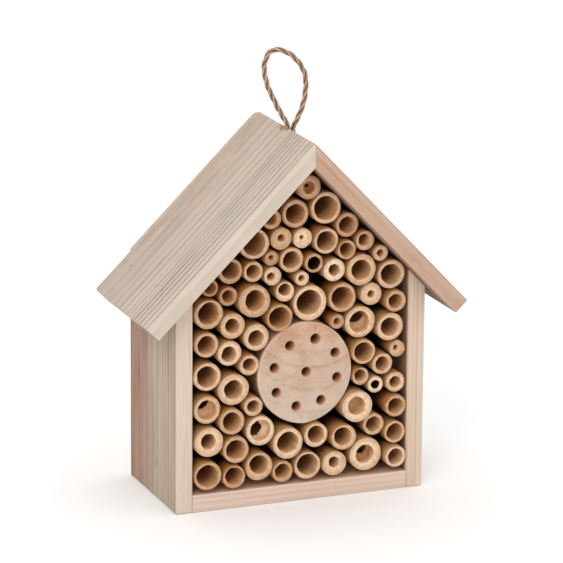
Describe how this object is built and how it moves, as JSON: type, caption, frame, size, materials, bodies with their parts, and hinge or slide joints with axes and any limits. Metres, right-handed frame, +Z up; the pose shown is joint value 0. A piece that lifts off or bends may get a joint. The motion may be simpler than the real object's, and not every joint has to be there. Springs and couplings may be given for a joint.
{
  "type": "insect hotel",
  "caption": "Small gabled pine box packed with bamboo tubes and a drilled log slice as nesting holes for solitary bees, hung from a jute loop.",
  "frame": {"origin": "on the ground under the middle of the box and its roof", "axes": "+X to the right seen from the open front, +Y from the open front to the back panel, +Z up"},
  "size_m": [0.2294, 0.109, 0.3075],
  "materials": {
    "roof_pine": "planed, unfinished",
    "ridge_pine": "planed, unfinished",
    "left_wall_pine": "planed, unfinished",
    "right_wall_pine": "planed, unfinished",
    "base_pine": "planed, unfinished",
    "back_panel_board": "thin board, unfinished",
    "log_wood": "sawn end grain",
    "bamboo": "sawn bamboo, natural",
    "jute_cord": "twisted jute",
    "nail_steel": "dull"
  },
  "bodies": {
    "hotel": {"roof_board_left": "roof_pine", "roof_board_right": "ridge_pine", "side_wall_left": "left_wall_pine", "side_wall_right": "right_wall_pine", "base_board": "base_pine", "back_panel": "back_panel_board", "log_disc": "log_wood", "loop_knot": "jute_cord", "roof_brads": "nail_steel", "back_panel_pins": "nail_steel", "bamboo_01_04": "bamboo", "bamboo_03": "bamboo", "bamboo_02": "bamboo", "bamboo_05_10": "bamboo", "bamboo_06_07": "bamboo", "bamboo_09": "bamboo", "bamboo_08": "bamboo", "bamboo_11_12": "bamboo", "bamboo_13_21": "bamboo", "bamboo_14_26": "bamboo", "bamboo_15_22": "bamboo", "bamboo_19_23": "bamboo", "bamboo_20_24": "bamboo", "bamboo_16_29": "bamboo", "bamboo_17": "bamboo", "bamboo_18": "bamboo", "bamboo_25": "bamboo", "bamboo_28": "bamboo", "bamboo_27": "bamboo", "bamboo_31": "bamboo", "bamboo_30_34": "bamboo", "bamboo_33": "bamboo", "bamboo_32_37": "bamboo", "bamboo_35_39": "bamboo", "bamboo_38": "bamboo", "bamboo_36": "bamboo", "bamboo_40_43": "bamboo", "bamboo_41": "bamboo", "bamboo_44": "bamboo", "bamboo_42_47": "bamboo", "bamboo_48": "bamboo", "bamboo_45_46": "bamboo", "bamboo_52_60": "bamboo", "bamboo_51_55": "bamboo", "bamboo_50_57": "bamboo", "bamboo_53": "bamboo", "bamboo_49_54": "bamboo", "bamboo_59": "bamboo", "bamboo_58": "bamboo", "bamboo_61": "bamboo", "bamboo_56_63": "bamboo", "bamboo_65": "bamboo", "bamboo_62_64": "bamboo", "bamboo_68": "bamboo", "bamboo_66": "bamboo", "bamboo_67_69": "bamboo"},
    "loop": {"hanging_loop": "jute_cord"}
  },
  "joints": [
    {"name": "loop_tip", "type": "hinge", "parent": "hotel", "child": "loop", "pos_m": [0.00525, -0.003, 0.2542], "axis": [1, 0, 0], "range_deg": [-88, 88]}
  ]
}
